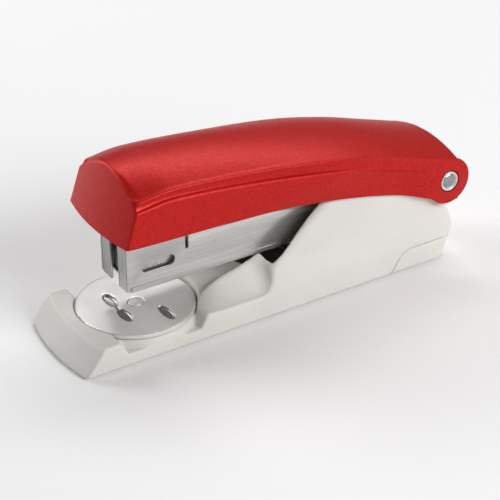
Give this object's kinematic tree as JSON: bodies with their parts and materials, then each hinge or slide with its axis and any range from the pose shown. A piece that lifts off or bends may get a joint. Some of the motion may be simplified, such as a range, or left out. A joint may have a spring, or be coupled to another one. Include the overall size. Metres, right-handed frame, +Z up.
{
  "type": "stapler",
  "caption": "Desktop stapler with a domed red press handle, steel magazine, round swivelling anvil disc and a grey moulded base with finger notches.",
  "frame": {"origin": "on the table under the middle of the bounding box", "axes": "+X along the length from the stapling mouth to the pivot, +Y across the width, +Z up"},
  "size_m": [0.1375, 0.036, 0.0556],
  "materials": {
    "base_plastic": "fine-grained warm light grey moulding",
    "red_paint": "satin red paint with a fine metallic sparkle",
    "bright_nickel": "polished nickel plate",
    "magazine_steel": "nickel-plated sheet steel, lightly brushed lengthwise",
    "zinc_steel": "zinc-plated pressed steel",
    "spring_steel": "bright spring steel",
    "staple_wire": "galvanised staple wire",
    "black_plastic": "black moulded plastic",
    "foot_rubber": "dark non-slip rubber"
  },
  "bodies": {
    "base": {"base_cover": "base_plastic", "rear_heel": "base_plastic", "chassis_plate": "zinc_steel", "front_foot": "foot_rubber", "rear_foot": "foot_rubber", "chassis_screw_front": "zinc_steel", "chassis_screw_rear": "zinc_steel", "pivot_pin": "bright_nickel", "pivot_pin_cap": "bright_nickel", "anvil_rivet": "bright_nickel", "anvil_spring_washer": "spring_steel", "lift_spring": "spring_steel"},
    "anvil": {"anvil_plate": "bright_nickel"},
    "magazine": {"magazine_channel": "magazine_steel", "front_guide": "magazine_steel", "staple_rail": "zinc_steel", "staple_strip": "staple_wire", "pusher_rod": "spring_steel", "rod_end_block": "black_plastic", "pusher_spring": "spring_steel"},
    "pusher": {"pusher": "black_plastic"},
    "cover": {"magazine_cover": "magazine_steel", "handle_spring": "spring_steel"},
    "handle": {"handle_shell": "red_paint", "striker_frame": "zinc_steel", "striker_blade": "spring_steel", "blade_rivet_left": "spring_steel", "blade_rivet_right": "spring_steel"}
  },
  "joints": [
    {"name": "magazine_hinge", "type": "hinge", "parent": "base", "child": "magazine", "pos_m": [0.061, 0, 0.0271], "axis": [0, 1, 0], "range_deg": [-4.6, 0], "stiffness_Nm_per_rad": 1.6, "springref_deg": 11.46, "deforming": ["lift_spring"]},
    {"name": "loading_hinge", "type": "hinge", "parent": "magazine", "child": "cover", "pos_m": [0.061, 0, 0.0271], "axis": [0, 1, 0], "range_deg": [0, 90]},
    {"name": "handle_hinge", "type": "hinge", "parent": "cover", "child": "handle", "pos_m": [0.061, 0, 0.0271], "axis": [0, 1, 0], "range_deg": [-4.7, 0], "stiffness_Nm_per_rad": 3, "springref_deg": 8.59, "deforming": ["handle_spring"]},
    {"name": "pusher_slide", "type": "slide", "parent": "magazine", "child": "pusher", "axis": [1, 0, 0], "range_m": [0, 0.028], "stiffness_N_per_m": 25, "springref_m": -0.08, "deforming": ["pusher_spring"]},
    {"name": "anvil_turn", "type": "hinge", "parent": "base", "child": "anvil", "pos_m": [-0.041, 0, 0.0084], "axis": [0, 0, 1], "continuous": true}
  ]
}
